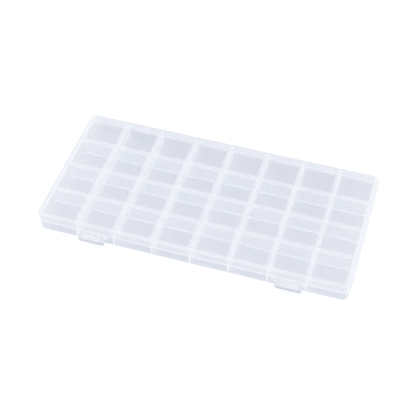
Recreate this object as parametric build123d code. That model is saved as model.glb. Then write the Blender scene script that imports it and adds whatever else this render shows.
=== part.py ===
"""Flat compartment box: a tray with fixed column walls, loose row dividers, a hinged lid and two latches.

Millimetres. +X runs along the long side, -Y is the front with the latches, +Z is up.
The origin is the centre of the tray's underside.
"""
from build123d import *
import os

# Grid of compartments
columns = 8
rows = 4
column_pitch = 38.0
row_pitch = 37.5

# Tray
tray_height = 17.9
outer_wall = 1.5
end_wall = 1.9
column_wall = 1.4
floor_thickness = 1.0
tray_corner_radius = 6.0
channel_corner_radius = 1.6
floor_fillet = 1.2
tray_foot_radius = 0.8

# Row dividers and the slots that hold them
divider_thickness = 1.2
divider_end_gap = 0.2
divider_top_gap = 0.2
slot_gap = 0.12
slot_rib_width = 1.0
slot_rib_depth = 1.1
slot_rib_top_gap = 0.3

# Lid
lid_plate = 1.3
lid_seat_gap = 0.3
lid_side_gap = 0.35
skirt_thickness = 1.2
skirt_height = 8.4
lid_edge_radius = 1.4
skirt_foot_radius = 0.25

# Shallow recess under the lid for each compartment; the plate keeps its full thickness over the walls
window_depth = 0.4
window_inset = 2.0
window_back_inset = 7.8
window_corner_radius = 2.0

# Hinges at the back
hinge_inset = 54.25
hinge_barrel_radius = 2.3
hinge_pin_radius = 1.2
hinge_running_gap = 0.05
hinge_knuckle_length = 14.0
hinge_ear_thickness = 2.5
hinge_side_gap = 0.25
hinge_corner_gap = 0.32
hinge_gusset_drop = 5.0
knuckle_gusset_height = 3.2

# How far a bore's cutter passes each side of what it cuts
bore_overrun = 1.0

# Latches at the front
latch_inset = 55.5
latch_width = 26.5
latch_barrel_radius = 1.4
latch_pin_radius = 0.75
latch_running_gap = 0.05
latch_side_gap = 0.25
latch_skirt_gap = 0.3
latch_wall_gap = 0.45
latch_thickness = 1.3
latch_drop = 8.3
latch_neck = 1.8
latch_flare = 2.1
latch_lip_height = 2.8
latch_corner_radius = 3.0
latch_bend_radius = 1.6
latch_edge_radius = 0.5
latch_lug_thickness = 1.5
latch_lug_rise = 2.2

# Grip ridge on each latch
ridge_radius = 0.6
ridge_drop = 3.9
ridge_side_margin = 5.25

# Hook on each latch and the bead under which it catches
bead_depth = 0.9
bead_height = 1.4
hook_height = 1.4
hook_gap = 0.3
hook_wall_gap = 0.4
hook_side_margin = 5.25
bead_drop = 1.8

# Everything below follows from the sizes above
tray_length = columns * column_pitch - column_wall + 2 * end_wall
tray_width = rows * row_pitch + outer_wall
tray_front = tray_width / 2
tray_inside_radius = max(tray_corner_radius - outer_wall, channel_corner_radius)
lid_under = tray_height + lid_seat_gap
lid_top = lid_under + lid_plate
skirt_bottom = lid_top - skirt_height
lid_length = tray_length + 2 * (lid_side_gap + skirt_thickness)
lid_width = tray_width + 2 * (lid_side_gap + skirt_thickness)
lid_corner_radius = tray_corner_radius + lid_side_gap + skirt_thickness
lid_front = lid_width / 2
hinge_x = tray_length / 2 - hinge_inset
latch_x = tray_length / 2 - latch_inset

hinge_y = lid_front + hinge_barrel_radius
hinge_clear_radius = hinge_barrel_radius + hinge_corner_gap
hinge_z = skirt_bottom - (hinge_clear_radius ** 2 - hinge_barrel_radius ** 2) ** 0.5

latch_y = -(tray_front + latch_wall_gap + latch_barrel_radius)
latch_z = skirt_bottom - latch_skirt_gap - latch_barrel_radius

# What overlaps so that two stretches of one moulding join into one solid
weld = 0.4


def column_line(index):
    """X of the grid line on the left of a column; index 0 lies in the left end wall."""
    return (index - columns / 2) * column_pitch


def row_line(index):
    """Y of a grid line; index 0 is the front outer wall."""
    return (index - rows / 2) * row_pitch


def column_span(column):
    """Lowest and highest X of the clear channel in a column."""
    return column_line(column) + column_wall / 2, column_line(column) + column_pitch - column_wall / 2


def profile_along_x(points, x_low, x_high, rounding=None):
    """A closed YZ outline, stretched along X; rounding maps a corner's number to its radius."""
    outline = make_face(Polyline([Vector(y, z) for y, z in points], close=True))
    for index, radius in (rounding or {}).items():
        corner = outline.vertices().sort_by_distance(Vector(*points[index]))[0]
        outline = fillet(corner, radius)
    return extrude(Plane.YZ.offset(x_low) * outline, amount=x_high - x_low)


def rod_along_x(radius, x_low, x_high, y, z):
    """A round bar along X."""
    return extrude(Plane.YZ.offset(x_low) * Pos(y, z) * Circle(radius), amount=x_high - x_low)


def channel(column):
    """The clear space of one column, from the floor up past the tray's top."""
    x_low, x_high = column_span(column)
    left_radius = tray_inside_radius if column == 0 else channel_corner_radius
    right_radius = tray_inside_radius if column == columns - 1 else channel_corner_radius
    plan = Rectangle(x_high - x_low, tray_width - 2 * outer_wall)
    plan = fillet(plan.vertices().group_by(Axis.X)[0], left_radius)
    plan = fillet(plan.vertices().group_by(Axis.X)[-1], right_radius)
    space = extrude(plan, amount=tray_height)
    space = fillet(space.faces().sort_by(Axis.Z)[0].edges(), floor_fillet)
    return Pos((x_low + x_high) / 2, 0, floor_thickness) * space


def slot_ribs():
    """Upright ribs in pairs on both sides of every channel, one pair for each divider end."""
    rib_height = tray_height - slot_rib_top_gap - floor_thickness
    offset = divider_thickness / 2 + slot_gap + slot_rib_width / 2
    ribs = []
    for column in range(columns):
        x_low, x_high = column_span(column)
        for row in range(1, rows):
            for side in (-1, 1):
                y = row_line(row) + side * offset
                for x in (x_low + slot_rib_depth / 2 - weld / 2, x_high - slot_rib_depth / 2 + weld / 2):
                    rib = Box(slot_rib_depth + weld, slot_rib_width, rib_height + weld,
                              align=(Align.CENTER, Align.CENTER, Align.MIN))
                    ribs.append(Pos(x, y, floor_thickness - weld) * rib)
    return ribs


def hinge_ears(x_centre):
    """Two ears on the tray's back wall with the bores that take the lid's stub pins."""
    ears = []
    for side in (-1, 1):
        inner = x_centre + side * (hinge_knuckle_length / 2 + hinge_side_gap)
        outer = inner + side * hinge_ear_thickness
        x_low, x_high = min(inner, outer), max(inner, outer)
        back = tray_front - weld
        top = skirt_bottom - hinge_corner_gap
        arm = profile_along_x([(back, top), (hinge_y, top), (hinge_y, hinge_z - hinge_barrel_radius),
                               (back, hinge_z - hinge_barrel_radius - hinge_gusset_drop)], x_low, x_high)
        eye = rod_along_x(hinge_barrel_radius, x_low, x_high, hinge_y, hinge_z)
        bore = rod_along_x(hinge_pin_radius + hinge_running_gap, x_low - bore_overrun, x_high + bore_overrun,
                           hinge_y, hinge_z)
        ears.append(arm + eye - bore)
    return ears


def hook_span(x_centre):
    """Lowest and highest X of the hook on a latch and of the bead that it catches."""
    half = latch_width / 2 - hook_side_margin
    return x_centre - half, x_centre + half


def bead_levels():
    """Lowest and highest Z of the catch bead."""
    top = latch_z - bead_drop
    return top - bead_height, top


def catch_bead(x_centre):
    """A bead on the front wall with a flat underside for the hook and a sloped top."""
    low, high = bead_levels()
    x_low, x_high = hook_span(x_centre)
    face = -tray_front
    return profile_along_x([(face + weld, low), (face - bead_depth, low), (face - bead_depth, low + bead_height / 2),
                            (face, high), (face + weld, high)], x_low, x_high)


def make_tray():
    block = extrude(RectangleRounded(tray_length, tray_width, tray_corner_radius), amount=tray_height)
    block = fillet(block.faces().sort_by(Axis.Z)[0].edges(), tray_foot_radius)
    tray = block - [channel(column) for column in range(columns)]
    tray = tray + slot_ribs()
    for x in (-hinge_x, hinge_x):
        tray = tray + hinge_ears(x)
    for x in (-latch_x, latch_x):
        tray = tray + catch_bead(x)
    return tray


def make_divider(column, row):
    """One loose plate; its lower corners follow the fillet between floor and wall."""
    x_low, x_high = column_span(column)
    length = x_high - x_low - 2 * divider_end_gap
    height = tray_height - divider_top_gap - floor_thickness
    plate = Rectangle(length, height)
    plate = fillet(plate.vertices().group_by(Axis.Y)[0], floor_fillet)
    solid = extrude(Plane.XZ * plate, amount=divider_thickness / 2, both=True)
    return Pos((x_low + x_high) / 2, row_line(row), floor_thickness + height / 2) * solid


def lid_window(column, row):
    """The space that thins the lid over one compartment."""
    x_low, x_high = column_span(column)
    front_wall = outer_wall if row == 0 else divider_thickness
    back_wall = outer_wall if row == rows - 1 else divider_thickness
    back_inset = window_back_inset if row == rows - 1 else window_inset
    y_low = row_line(row) + front_wall / 2 + window_inset
    y_high = row_line(row) + row_pitch - back_wall / 2 - back_inset
    plan = Rectangle(x_high - x_low - 2 * window_inset, y_high - y_low)
    corners = plan.vertices()
    if column in (0, columns - 1) and row in (0, rows - 1):
        outwards = Vector(column - (columns - 1) / 2, row - (rows - 1) / 2) * tray_length
        plan = fillet(corners.sort_by_distance(outwards)[0], tray_inside_radius)
        corners = plan.vertices().sort_by_distance(outwards)[2:]
    plan = fillet(corners, window_corner_radius)
    return Pos((x_low + x_high) / 2, (y_low + y_high) / 2, lid_under) * extrude(plan, amount=window_depth)


def hinge_knuckle(x_centre):
    """The lid's barrel between two ears, with a stub pin at each end and a gusset up to the skirt."""
    half = hinge_knuckle_length / 2
    x_low, x_high = x_centre - half, x_centre + half
    barrel = rod_along_x(hinge_barrel_radius, x_low, x_high, hinge_y, hinge_z)
    skirt_middle = lid_front - skirt_thickness / 2
    gusset = profile_along_x([(skirt_middle, skirt_bottom), (skirt_middle, skirt_bottom + knuckle_gusset_height),
                              (lid_front, skirt_bottom + knuckle_gusset_height),
                              (hinge_y + hinge_barrel_radius, hinge_z), (lid_front, hinge_z),
                              (lid_front, skirt_bottom)], x_low, x_high)
    reach = half + hinge_side_gap + hinge_ear_thickness
    pins = rod_along_x(hinge_pin_radius, x_centre - reach, x_centre + reach, hinge_y, hinge_z)
    return barrel + gusset + pins


def latch_lugs(x_centre):
    """Two lugs under the skirt's front edge with the bores that take a latch's stub pins."""
    lugs = []
    for side in (-1, 1):
        inner = x_centre + side * (latch_width / 2 + latch_side_gap)
        outer = inner + side * latch_lug_thickness
        x_low, x_high = min(inner, outer), max(inner, outer)
        face = -lid_front
        inside = -(tray_front + lid_side_gap)
        body = profile_along_x([(inside, latch_z), (inside, skirt_bottom + weld), (face, skirt_bottom + latch_lug_rise),
                                (latch_y - latch_barrel_radius, latch_z)], x_low, x_high)
        eye = rod_along_x(latch_barrel_radius, x_low, x_high, latch_y, latch_z)
        bore = rod_along_x(latch_pin_radius + latch_running_gap, x_low - bore_overrun, x_high + bore_overrun,
                           latch_y, latch_z)
        lugs.append(body + eye - bore)
    return lugs


def make_lid():
    shell = extrude(RectangleRounded(lid_length, lid_width, lid_corner_radius), amount=skirt_height)
    shell = fillet(shell.faces().sort_by(Axis.Z)[-1].edges(), lid_edge_radius)
    shell = fillet(shell.faces().sort_by(Axis.Z)[0].edges(), skirt_foot_radius)
    hollow = extrude(RectangleRounded(tray_length + 2 * lid_side_gap, tray_width + 2 * lid_side_gap,
                                      tray_corner_radius + lid_side_gap), amount=skirt_height - lid_plate)
    lid = Pos(0, 0, skirt_bottom) * (shell - hollow)
    lid = lid - [lid_window(column, row) for column in range(columns) for row in range(rows)]
    for x in (-hinge_x, hinge_x):
        lid = lid + hinge_knuckle(x)
    for x in (-latch_x, latch_x):
        lid = lid + latch_lugs(x)
    return lid


def flap_shift(z):
    """How far the flap has flared outwards at a height."""
    flare_top = latch_z - latch_neck
    flare_bottom = latch_z - latch_drop + latch_lip_height
    share = (flare_top - z) / (flare_top - flare_bottom)
    return latch_flare * min(max(share, 0), 1)


def make_flap(x_low, x_high):
    """The flap: a straight neck, a flare outwards and an upright lip, with rounded lower corners."""
    outside = latch_y - latch_barrel_radius
    inside = outside + latch_thickness
    lip = outside - latch_flare
    lip_inside = inside - latch_flare
    flare_top = latch_z - latch_neck
    bottom = latch_z - latch_drop
    flare_bottom = bottom + latch_lip_height
    outline = [(inside, latch_z), (outside, latch_z), (outside, flare_top), (lip, flare_bottom), (lip, bottom),
               (lip_inside, bottom), (lip_inside, flare_bottom), (inside, flare_top)]
    rounding = {2: latch_bend_radius, 3: latch_bend_radius, 4: latch_edge_radius, 5: latch_edge_radius,
                6: latch_bend_radius, 7: latch_bend_radius}
    flap = profile_along_x(outline, x_low, x_high, rounding)
    front_view = Rectangle(x_high - x_low, latch_drop, align=(Align.CENTER, Align.MIN))
    front_view = fillet(front_view.vertices().group_by(Axis.Y)[0], latch_corner_radius)
    window = extrude(Plane.XZ * front_view, amount=tray_width)
    return flap & Pos((x_low + x_high) / 2, 0, bottom) * window


def make_latch(x_centre):
    half = latch_width / 2
    x_low, x_high = x_centre - half, x_centre + half
    flap = make_flap(x_low, x_high)
    barrel = rod_along_x(latch_barrel_radius, x_low, x_high, latch_y, latch_z)
    reach = half + latch_side_gap + latch_lug_thickness
    pins = rod_along_x(latch_pin_radius, x_centre - reach, x_centre + reach, latch_y, latch_z)
    outside = latch_y - latch_barrel_radius
    middle = outside + latch_thickness / 2

    hook_top = bead_levels()[0] - hook_gap
    hook_bottom = hook_top - hook_height
    hook_low, hook_high = hook_span(x_centre)
    tip = -tray_front - hook_wall_gap
    hook = profile_along_x([(middle - flap_shift(hook_top), hook_top), (tip, hook_top),
                            (tip, hook_top - hook_height / 2), (middle - flap_shift(hook_bottom), hook_bottom)],
                           hook_low, hook_high)

    ridge_z = latch_z - ridge_drop
    ridge = rod_along_x(ridge_radius, x_low + ridge_side_margin, x_high - ridge_side_margin,
                        outside - flap_shift(ridge_z), ridge_z)
    return flap + barrel + pins + hook + ridge


def main():
    os.makedirs("parts", exist_ok=True)
    export_step(make_tray(), "parts/base_tray.step")
    export_step(make_lid(), "parts/lid.step")
    for column in range(columns):
        for row in range(1, rows):
            export_step(make_divider(column, row), f"parts/row_divider_c{column + 1}_r{row}.step")
    for name, x in (("left", -latch_x), ("right", latch_x)):
        export_step(make_latch(x), f"parts/latch_{name}.step")


main()
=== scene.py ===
"""Looks of the flat compartment box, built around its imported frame.

Metres, in the part's own frame: +X along the long side, -Y the front with the latches, +Z up.
The plastic is thin and frosted. Each skin of it scatters a share of the light, its haze, and shows what is
behind it otherwise. The haze is higher where the plastic is seen edge on, so walls and rims look whiter.
"""
import math
from types import SimpleNamespace

import bpy
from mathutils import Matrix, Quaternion, Vector


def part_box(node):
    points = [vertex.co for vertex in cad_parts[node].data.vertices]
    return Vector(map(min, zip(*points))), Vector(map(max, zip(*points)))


MM = 0.001
WHITE = (1.0, 1.0, 1.0, 1.0)

# Camera, from the photograph's viewing angle: degrees and metres, with lens and sensor in millimetres
CAMERA_AZIMUTH = 14.975
CAMERA_ELEVATION = 46.084
CAMERA_ROLL = 2.14
CAMERA_DISTANCE = 1.0855
CAMERA_RIGHT = -3.6 * MM
CAMERA_UP = 0.85 * MM
CAMERA_LENS = 93.84
SENSOR_WIDTH = 36.0

# Studio
WORLD_STRENGTH = 0.97
SOFTBOX_WATTS = 2.0
SOFTBOX_SIZE = 1.4
SOFTBOX_PLACE = Vector((-0.35, 0.25, 1.5))
FLOOR_SIZE = 8.0
FLOOR_DROP = 0.2 * MM
FLOOR_WHITE = (0.95, 0.95, 0.95, 1.0)
FLOOR_LIFT = 0.06

# Floor as the plastic shows it: painted shade of the box on the floor, a blue-grey that is darker towards
# the back and paler under the ends
SHADE_UNDER_BOX_FRONT = (0.764, 0.773, 0.823, 1.0)
SHADE_UNDER_BOX_BACK = (0.733, 0.744, 0.802, 1.0)
SHADE_UNDER_BOX_ENDS = (0.791, 0.799, 0.844, 1.0)
SHADE_HALF_DEPTH = 75 * MM
PALER_ENDS_START = 100 * MM
PALER_ENDS_FULL = 160 * MM

# Light bounces: stacked clear walls turn black inside with fewer
TRANSPARENT_BOUNCES = 64
DIFFUSE_BOUNCES = 12

# Plastic: its own colour, and the tints of what is seen through it
PLASTIC = (0.94, 0.948, 0.968, 1.0)
PLASTIC_IOR = 1.49
CLEAR = (0.99, 0.993, 0.998, 1.0)
# Painted shade: tints that darken the tray's outer walls, more at the left
WALL_SHADE_TINT = (0.975, 0.98, 0.99, 1.0)
LEFT_WALL_SHADE_TINT = (0.958, 0.966, 0.98, 1.0)
# Painted shade that darkens the latch lip
LIP_SHADE_TINT = (0.91, 0.918, 0.945, 1.0)

# Share of the scattered light that comes through a skin, and of the haze that all but camera rays meet
INNER_LIGHT = 0.45
LIGHT_RAY_HAZE = 0.15

# Surface: fine grain, wide clouds in the haze, and roughness that follows the grain
GRAIN_SIZE = 0.4 * MM
GRAIN_HEIGHT = 0.01 * MM
GRAIN_STRENGTH = 0.5
CLOUD_SIZE = 45 * MM
CLOUD_SHARE = 0.012
NOISE_RANGE = (0.3, 0.7)
LID_ROUGHNESS = 0.32
TRAY_ROUGHNESS = 0.38
DIVIDER_ROUGHNESS = 0.36
LATCH_ROUGHNESS = 0.36
ROUGHNESS_SPREAD = 0.05

# Part: what its nodes' boxes don't give
ROWS = 4
FRONT_WALL = 1.5 * MM
COLUMN_WALL = 1.4 * MM
FLOOR_FILLET = 1.2 * MM
LID_PLATE = 1.3 * MM
WINDOW_DEPTH = 0.4 * MM
SKIRT_HEIGHT = 8.4 * MM
LATCH_LIP = 2.8 * MM
RIDGE_RISE = 4.4 * MM
RIDGE_RADIUS = 0.6 * MM
RIDGE_LENGTH = 16 * MM

# Masks by place: the width of their edge, and how far they reach past their face
STEP = 0.1 * MM
SLACK = 0.2 * MM

# Masks by the normal's share along Z or X: where each is 0, and where it is 1
FLAT = (0.35, 0.65)
UPRIGHT = (0.65, 0.35)
ROUNDED = (0.97, 0.85)
UPWARDS = (0.7, 0.9)
ENDWAYS = (0.35, 0.65)
LATCH_SIDE = (0.5, 0.8)

# Lid: widths of its strips, edges and skirt foot, and the haze of each place; the strip edges that face the
# softbox get a painted highlight
BACK_STRIP = 9 * MM
RIGHT_STRIP = 3.6 * MM
HIGHLIGHT_EDGE_START = 1.2 * MM
HIGHLIGHT_EDGE_END = 2.8 * MM
SKIRT_FOOT = 0.9 * MM
WINDOW_HAZE = 0.03
STRIP_HAZE = 0.4
BACK_STRIP_HAZE = 0.32
RIGHT_STRIP_HAZE = 0.7
PAINTED_HIGHLIGHT_HAZE = 0.6
WINDOW_STEP_HAZE = 0.8
LID_ROUNDING_HAZE = 0.25
SKIRT_HAZE = 0.2
SKIRT_FOOT_HAZE = 0.75
# Skirt ends: painted light, the right end hazier and so lighter than the left
LEFT_SKIRT_HAZE = 0.35
RIGHT_SKIRT_LIT_HAZE = 0.6

# Tray: widths of its bands, and the haze of each place
END_BAND = 4 * MM
END_SKIN = 0.5 * MM
OUTER_SKIN = 0.3 * MM
OUTER_HALF = 0.8 * MM
TRAY_RIM = 0.6 * MM
DIVIDER_LINE_INSET = 5 * MM
COLUMN_FOOT_HAZE = 0.6
COLUMN_TOP_HAZE = 0.4
END_WALL_HAZE = 0.08
TRAY_RIM_HAZE = 0.6
LINE_HAZE = 0.9

# Rest of the tray: paler to the right of each column wall, and clear from a further share of the pitch on
BESIDE_COLUMN_HAZE = 0.13
BESIDE_COLUMN_SHARE = 0.06
CLEAR_TRAY_HAZE = 0.02
CLEAR_TRAY_SHARE = 0.26

# Row dividers: heights of their top and foot, and the haze of each place
DIVIDER_TOP = 1 * MM
DIVIDER_FOOT = 0.4 * MM
DIVIDER_HAZE = 0.2
DIVIDER_TOP_HAZE = 0.45
DIVIDER_FOOT_HAZE = 0.6

# Latches: how far the middle field reaches past the ridge's ends, and the haze of each place; the ridge's
# haze is a painted highlight
MIDDLE_MARGIN = 2 * MM
LATCH_HAZE = 0.24
LATCH_MIDDLE_HAZE = 0.36
LATCH_LIP_HAZE = 0.1
LATCH_SIDE_HAZE = 0.7
RIDGE_HIGHLIGHT_HAZE = 0.75

# Sockets in which a Mix node keeps its colours
COLOUR_A = 6
COLOUR_B = 7
COLOUR_RESULT = 2


class Nodes:
    """Short calls for building the node tree of a material or a world."""

    def __init__(self, owner):
        owner.use_nodes = True
        self.tree = owner.node_tree
        self.tree.nodes.clear()

    def add(self, kind, inputs=None, **settings):
        node = self.tree.nodes.new(kind)
        for key, value in settings.items():
            setattr(node, key, value)
        for key, value in (inputs or {}).items():
            self.put(node.inputs[key], value)
        return node

    def put(self, socket, value):
        """Sets a socket to a value, or links it to another socket or to a node's first output."""
        if isinstance(value, bpy.types.Node):
            value = value.outputs[0]
        if isinstance(value, bpy.types.NodeSocket):
            self.tree.links.new(value, socket)
        else:
            socket.default_value = value

    def math(self, operation, *values):
        node = self.add("ShaderNodeMath", operation=operation)
        for socket, value in zip(node.inputs, values):
            self.put(socket, value)
        return node.outputs[0]

    def chain(self, operation, values):
        result = values[0]
        for value in values[1:]:
            result = self.math(operation, result, value)
        return result

    def times(self, *values):
        """Product, such as that of masks and a haze: 0 where any of them is 0."""
        return self.chain("MULTIPLY", values)

    def most(self, *values):
        return self.chain("MAXIMUM", values)

    def absolute(self, value):
        return self.math("ABSOLUTE", value)

    def ramp(self, value, start, end, low=0.0, high=1.0):
        """Goes from low to high while value goes from start to end, and stays there outside."""
        return self.add("ShaderNodeMapRange", {"Value": value, "From Min": start, "From Max": end,
                                               "To Min": low, "To Max": high}).outputs["Result"]

    def below(self, value, limit):
        """1 under the limit, 0 over it."""
        return self.ramp(value, limit, limit - STEP)

    def above(self, value, limit):
        """1 over the limit, 0 under it."""
        return self.ramp(value, limit, limit + STEP)

    def blend(self, share, low, high):
        """low where share is 0, high where it is 1."""
        return self.math("ADD", self.times(low, self.math("SUBTRACT", 1.0, share)), self.times(high, share))

    def mix_colour(self, share, low, high):
        node = self.add("ShaderNodeMix", {COLOUR_A: low, COLOUR_B: high}, data_type="RGBA")
        self.put(node.inputs["Factor"], share)
        return node.outputs[COLOUR_RESULT]

    def mix_shader(self, share, low, high):
        return self.add("ShaderNodeMixShader", {0: share, 1: low, 2: high})

    def noise(self, place, size):
        """Noise whose cells are about size metres across."""
        return self.add("ShaderNodeTexNoise", {"Vector": place, "Scale": 1 / size}).outputs["Fac"]

    def seen(self, rays):
        """1 for what the camera sees, straight, mirrored or refracted."""
        return self.most(rays["Is Camera Ray"], rays["Is Glossy Ray"], rays["Is Transmission Ray"])

    def past_line(self, along, pitch):
        """Signed way from the nearest of the grid's lines, which are a pitch apart on both sides of 0."""
        return self.math("WRAP", along, pitch / 2, -pitch / 2)

    def line_distance(self, along, pitch):
        return self.absolute(self.past_line(along, pitch))


class Shading(Nodes):
    """One material's node tree, with the object's own place and normal at hand."""

    def __init__(self, name):
        self.material = bpy.data.materials.new(name)
        super().__init__(self.material)
        coordinates = self.add("ShaderNodeTexCoord").outputs
        place = self.add("ShaderNodeSeparateXYZ", {0: coordinates["Object"]}).outputs
        normal = self.add("ShaderNodeSeparateXYZ", {0: coordinates["Normal"]}).outputs
        self.place = coordinates["Object"]
        self.x, self.y, self.z = place
        self.normal_x, self.normal_z = normal["X"], normal["Z"]

    def done(self, surface):
        self.add("ShaderNodeOutputMaterial", {"Surface": surface})
        return self.material


def film(n, haze, roughness, clear=CLEAR):
    """One skin of frosted plastic: a share haze of it scatters light, and the rest shows what is behind."""
    grain = n.noise(n.place, GRAIN_SIZE)
    relief = n.times(grain, GRAIN_HEIGHT)
    bump = n.add("ShaderNodeBump", {"Height": relief, "Strength": GRAIN_STRENGTH, "Distance": 1.0})
    satin = n.ramp(grain, *NOISE_RANGE, roughness - ROUGHNESS_SPREAD, roughness + ROUGHNESS_SPREAD)
    shell = n.add("ShaderNodeBsdfPrincipled", {"Base Color": PLASTIC, "Roughness": satin, "IOR": PLASTIC_IOR,
                                               "Normal": bump})
    inner = n.add("ShaderNodeBsdfTranslucent", {"Color": PLASTIC})
    behind = n.add("ShaderNodeBsdfTransparent", {"Color": clear})
    cloud = n.ramp(n.noise(n.place, CLOUD_SIZE), *NOISE_RANGE, -CLOUD_SHARE, CLOUD_SHARE)
    camera = n.add("ShaderNodeLightPath").outputs["Is Camera Ray"]
    share = n.times(n.math("ADD", haze, cloud), n.ramp(camera, 0.0, 1.0, LIGHT_RAY_HAZE, 1.0))
    return n.mix_shader(share, behind, n.mix_shader(INNER_LIGHT, shell, inner))


def painted_highlight_edge(n, past):
    """Painted highlight on the edge of a lid strip that faces the softbox; past is the way towards it from
    the strip's middle.
    """
    return n.times(n.above(past, HIGHLIGHT_EDGE_START), n.below(past, HIGHLIGHT_EDGE_END))


def lid_plate_haze(n, part):
    """Clear windows, hazy strips between them, bright edges where the plate steps or is rounded, and a
    painted highlight on the strip edges that face the softbox.
    """
    tilt = n.absolute(n.normal_z)
    flat = n.ramp(tilt, *FLAT)
    inside = n.times(n.below(n.absolute(n.x), part.tray_x), n.below(n.absolute(n.y), part.tray_y))
    strips = n.times(n.below(n.z, part.lid_under + SLACK), flat)
    strip_haze = n.blend(n.above(n.y, part.tray_y - BACK_STRIP), STRIP_HAZE, BACK_STRIP_HAZE)
    strip_haze = n.blend(n.above(n.x, part.tray_x - RIGHT_STRIP), strip_haze, RIGHT_STRIP_HAZE)
    underside = n.times(n.below(n.z, part.lid_under + WINDOW_DEPTH + SLACK), flat)
    left = n.times(n.past_line(n.x, part.column_pitch), -1.0)
    back = n.past_line(n.y, part.row_pitch)
    # Painted highlight: the strip edges that face the softbox are hazier, and so lighter
    highlight = n.most(painted_highlight_edge(n, left), painted_highlight_edge(n, back))
    steps = n.times(n.ramp(tilt, *UPRIGHT), inside)
    rounding = n.ramp(tilt, *ROUNDED)
    return n.most(WINDOW_HAZE, n.times(strips, strip_haze), n.times(underside, inside, highlight, PAINTED_HIGHLIGHT_HAZE),
                  n.times(steps, WINDOW_STEP_HAZE), n.times(rounding, LID_ROUNDING_HAZE))


def lid_skirt_haze(n, part):
    """A hazy foot all round, and hazy ends, the right one more than the left, which is painted light on the
    right end.
    """
    foot = n.below(n.z, part.skirt_bottom + SKIRT_FOOT)
    end = n.ramp(n.absolute(n.normal_x), *ENDWAYS)
    end_haze_and_painted_light = n.ramp(n.x, -part.tray_x, part.tray_x, LEFT_SKIRT_HAZE, RIGHT_SKIRT_LIT_HAZE)
    return n.most(n.times(foot, SKIRT_FOOT_HAZE), n.blend(end, SKIRT_HAZE, end_haze_and_painted_light))


def lid_plastic(part):
    n = Shading("lid_plastic")
    plate = n.above(n.z, part.lid_under - SLACK)
    haze = n.blend(plate, lid_skirt_haze(n, part), lid_plate_haze(n, part))
    return n.done(film(n, haze, LID_ROUGHNESS))


def tray_haze(n, part):
    """Hazy column walls, a hazy rim, and bright lines where a wall or a divider meets the tray's outside."""
    sideways = n.absolute(n.x)
    outwards = n.absolute(n.y)
    from_column = n.line_distance(n.x, part.column_pitch)
    from_divider = n.line_distance(n.y, part.row_pitch)
    beside = n.math("FRACT", n.math("DIVIDE", n.x, part.column_pitch))
    rest = n.ramp(beside, BESIDE_COLUMN_SHARE, CLEAR_TRAY_SHARE, BESIDE_COLUMN_HAZE, CLEAR_TRAY_HAZE)
    columns = n.times(n.below(from_column, COLUMN_WALL / 2 + FLOOR_FILLET + SLACK),
                      n.ramp(n.absolute(n.normal_z), *ROUNDED),
                      n.below(outwards, part.tray_y - FRONT_WALL - SLACK),
                      n.below(sideways, part.tray_x - END_SKIN))
    column_haze = n.ramp(n.z, part.floor, part.tray_top, COLUMN_FOOT_HAZE, COLUMN_TOP_HAZE)
    column_haze = n.blend(n.above(sideways, part.tray_x - END_BAND), column_haze, END_WALL_HAZE)
    rim = n.times(n.above(n.z, part.tray_top - TRAY_RIM), n.ramp(n.normal_z, *UPWARDS))
    upright_line = n.times(n.below(from_column, COLUMN_WALL / 2 + STEP),
                           n.above(outwards, part.tray_y - OUTER_SKIN))
    bottom_line = n.times(n.below(from_divider, part.divider / 2), n.below(n.z, OUTER_SKIN),
                          n.below(outwards, part.tray_y - DIVIDER_LINE_INSET))
    return n.most(rest, n.times(columns, column_haze), n.times(rim, TRAY_RIM_HAZE),
                  n.times(upright_line, LINE_HAZE), n.times(bottom_line, LINE_HAZE))


def tray_painted_shade(n, part):
    """Painted shade on the outer walls, darker towards the left: the band that shows below the skirt, and
    the whole back wall.
    """
    band = n.times(n.below(n.z, part.skirt_bottom), n.above(n.absolute(n.y), part.tray_y - OUTER_HALF))
    back = n.above(n.y, part.tray_y - FRONT_WALL - SLACK)
    # Painted shade, stronger towards the left
    wall = n.mix_colour(n.ramp(n.x, -part.tray_x, 0.0), LEFT_WALL_SHADE_TINT, WALL_SHADE_TINT)
    return n.mix_colour(n.most(band, back), CLEAR, wall)


def tray_plastic(part):
    n = Shading("tray_plastic")
    return n.done(film(n, tray_haze(n, part), TRAY_ROUGHNESS, tray_painted_shade(n, part)))


def divider_plastic(part):
    n = Shading("divider_plastic")
    top = n.times(n.above(n.z, part.tray_top - DIVIDER_TOP), n.ramp(n.normal_z, *UPWARDS))
    foot = n.below(n.z, part.floor + DIVIDER_FOOT)
    haze = n.most(DIVIDER_HAZE, n.times(top, DIVIDER_TOP_HAZE), n.times(foot, DIVIDER_FOOT_HAZE))
    return n.done(film(n, haze, DIVIDER_ROUGHNESS))


def latch_plastic(part):
    """A hazy plate with a painted highlight on its ridge and bright sides, over a clear lip with painted
    shade that makes it darker.
    """
    n = Shading("latch_plastic")
    lip = n.below(n.z, part.latch_bottom + LATCH_LIP)
    side = n.ramp(n.absolute(n.normal_x), *LATCH_SIDE)
    from_middle = n.absolute(n.math("SUBTRACT", n.absolute(n.x), part.latch_x))
    from_ridge = n.absolute(n.math("SUBTRACT", n.z, part.latch_bottom + RIDGE_RISE))
    # Painted highlight along the ridge
    ridge_highlight = n.times(n.below(from_ridge, RIDGE_RADIUS + STEP), n.below(from_middle, RIDGE_LENGTH / 2))
    field = n.below(from_middle, RIDGE_LENGTH / 2 + MIDDLE_MARGIN)
    plate_haze = n.blend(field, LATCH_HAZE, LATCH_MIDDLE_HAZE)
    haze = n.most(n.blend(lip, plate_haze, LATCH_LIP_HAZE), n.times(side, LATCH_SIDE_HAZE),
                  n.times(ridge_highlight, RIDGE_HIGHLIGHT_HAZE))
    return n.done(film(n, haze, LATCH_ROUGHNESS, n.mix_colour(lip, CLEAR, LIP_SHADE_TINT)))


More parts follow.
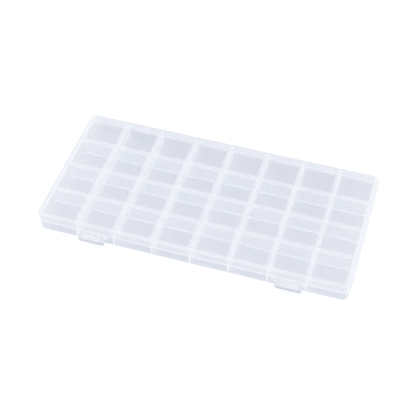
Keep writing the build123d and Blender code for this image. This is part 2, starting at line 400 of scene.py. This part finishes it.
def painted_shade_under_box(n):
    """Painted shade of the box on the floor: pale blue-grey as it is seen through the plastic, darker
    towards the back and paler under the ends.
    """
    depth = n.mix_colour(n.ramp(n.y, -SHADE_HALF_DEPTH, SHADE_HALF_DEPTH), SHADE_UNDER_BOX_FRONT, SHADE_UNDER_BOX_BACK)
    return n.mix_colour(n.ramp(n.absolute(n.x), PALER_ENDS_START, PALER_ENDS_FULL), depth, SHADE_UNDER_BOX_ENDS)


def floor_material():
    """White studio floor that keeps the shadow; seen through the plastic it takes a painted shade, a pale
    blue-grey.
    """
    n = Shading("studio_floor")
    rays = n.add("ShaderNodeLightPath").outputs
    through = n.times(rays["Is Camera Ray"], n.math("GREATER_THAN", rays["Transparent Depth"], 0.0))
    base = n.add("ShaderNodeBsdfDiffuse", {"Color": n.mix_colour(through, FLOOR_WHITE, painted_shade_under_box(n))})
    lift = n.times(n.math("SUBTRACT", n.seen(rays), through), FLOOR_LIFT)
    glow = n.add("ShaderNodeEmission", {"Color": WHITE, "Strength": lift})
    return n.done(n.add("ShaderNodeAddShader", {0: base, 1: glow}))


def build_floor():
    mesh = bpy.data.meshes.new("studio_floor")
    half = FLOOR_SIZE / 2
    corners = [(-half, -half, 0), (half, -half, 0), (half, half, 0), (-half, half, 0)]
    mesh.from_pydata(corners, [], [(0, 1, 2, 3)])
    mesh.materials.append(floor_material())
    floor = bpy.data.objects.new("studio_floor", mesh)
    bpy.context.scene.collection.objects.link(floor)
    floor.location.z = -FLOOR_DROP


def build_world():
    """Even white light, and pure white where it is seen."""
    world = bpy.data.worlds.new("studio")
    n = Nodes(world)
    light = n.add("ShaderNodeBackground", {"Color": WHITE, "Strength": WORLD_STRENGTH})
    white = n.add("ShaderNodeBackground", {"Color": WHITE})
    seen = n.seen(n.add("ShaderNodeLightPath").outputs)
    n.add("ShaderNodeOutputWorld", {"Surface": n.mix_shader(seen, light, white)})
    bpy.context.scene.world = world


def build_softbox():
    light = bpy.data.lights.new("softbox", "AREA")
    light.shape = "SQUARE"
    light.size = SOFTBOX_SIZE
    light.energy = SOFTBOX_WATTS
    lamp = bpy.data.objects.new("softbox", light)
    lamp.location = SOFTBOX_PLACE
    lamp.rotation_euler = SOFTBOX_PLACE.to_track_quat("Z", "Y").to_euler()
    bpy.context.scene.collection.objects.link(lamp)


def place_camera():
    """Looks at the origin, rolled a little, and is then moved sideways and up in its own plane."""
    azimuth = math.radians(CAMERA_AZIMUTH)
    elevation = math.radians(CAMERA_ELEVATION)
    level = math.cos(elevation)
    back = Vector((math.sin(azimuth) * level, -math.cos(azimuth) * level, math.sin(elevation)))
    turn = (-back).to_track_quat("-Z", "Y") @ Quaternion((0, 0, 1), math.radians(CAMERA_ROLL))
    data = bpy.data.cameras.new("camera")
    data.sensor_width = SENSOR_WIDTH
    data.lens = CAMERA_LENS
    camera = bpy.data.objects.new("camera", data)
    camera.rotation_mode = "QUATERNION"
    camera.rotation_quaternion = turn
    camera.location = back * CAMERA_DISTANCE + turn @ Vector((CAMERA_RIGHT, CAMERA_UP, 0))
    bpy.context.scene.collection.objects.link(camera)
    bpy.context.scene.camera = camera


def middle(name):
    """Middle of a node's box."""
    low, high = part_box(name)
    return (low + high) / 2


def read_part():
    """The places that the materials follow, from the frame's own nodes."""
    tray_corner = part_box("base_tray")[1]
    lid_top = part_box("lid")[1].z
    divider_low, divider_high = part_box("row_divider_c1_r1")
    row_pitch = middle("row_divider_c1_r2").y - middle("row_divider_c1_r1").y
    return SimpleNamespace(
        column_pitch=middle("row_divider_c2_r1").x - middle("row_divider_c1_r1").x,
        row_pitch=row_pitch,
        tray_x=tray_corner.x,
        tray_y=ROWS / 2 * row_pitch + FRONT_WALL / 2,
        tray_top=tray_corner.z,
        floor=divider_low.z,
        divider=divider_high.y - divider_low.y,
        lid_under=lid_top - LID_PLATE,
        skirt_bottom=lid_top - SKIRT_HEIGHT,
        latch_bottom=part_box("latch_left")[0].z,
        latch_x=abs(middle("latch_left").x),
    )


def dress(nodes, part):
    """Gives each node the plastic of its kind."""
    plastics = {
        "lid": lid_plastic(part),
        "base_tray": tray_plastic(part),
        "latch": latch_plastic(part),
        "row_divider": divider_plastic(part),
    }
    for name, node_object in nodes.items():
        kind = next(kind for kind in plastics if name.startswith(kind))
        for slot in node_object.material_slots:
            slot.material = plastics[kind]


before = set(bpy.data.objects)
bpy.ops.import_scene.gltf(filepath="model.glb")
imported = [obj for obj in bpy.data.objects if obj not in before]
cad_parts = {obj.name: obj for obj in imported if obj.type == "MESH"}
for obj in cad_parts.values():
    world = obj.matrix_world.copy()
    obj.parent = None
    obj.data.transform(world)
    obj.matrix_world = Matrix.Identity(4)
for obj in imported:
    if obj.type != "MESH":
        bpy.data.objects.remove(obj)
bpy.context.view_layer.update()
dress(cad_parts, read_part())

build_floor()
build_world()
build_softbox()
place_camera()
bpy.context.scene.view_settings.view_transform = "Standard"
bpy.context.scene.cycles.transparent_max_bounces = TRANSPARENT_BOUNCES
bpy.context.scene.cycles.diffuse_bounces = DIFFUSE_BOUNCES
